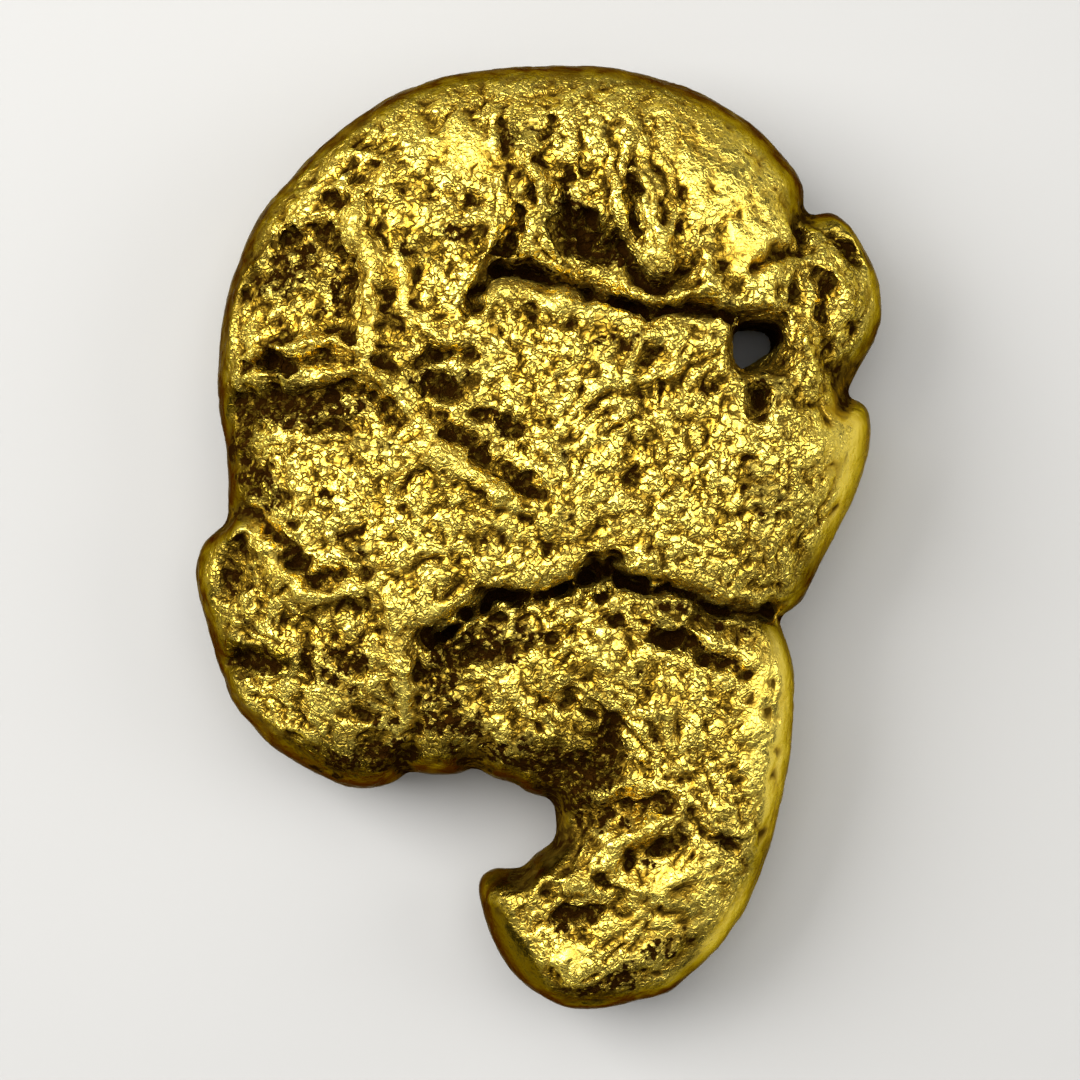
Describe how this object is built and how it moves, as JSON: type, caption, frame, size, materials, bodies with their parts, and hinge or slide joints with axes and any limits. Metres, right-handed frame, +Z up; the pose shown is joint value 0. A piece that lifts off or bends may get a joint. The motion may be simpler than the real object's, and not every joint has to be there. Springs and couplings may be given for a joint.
{
  "type": "gold nugget",
  "caption": "Flattened water-worn nugget of native gold with a domed head, a side lobe, a through hole and a curled tail.",
  "frame": {"origin": "middle of the bounding box on the surface that the nugget lies on", "axes": "+Z up through the thickness, +Y from the tail to the top of the head, +X towards the ear lobe"},
  "size_m": [0.0216, 0.03, 0.0079],
  "materials": {
    "native_gold": "pitted water-worn native gold, bright on the high spots and dark brown in the crevices"
  },
  "bodies": {
    "root": {"nugget": "native_gold"}
  },
  "joints": []
}
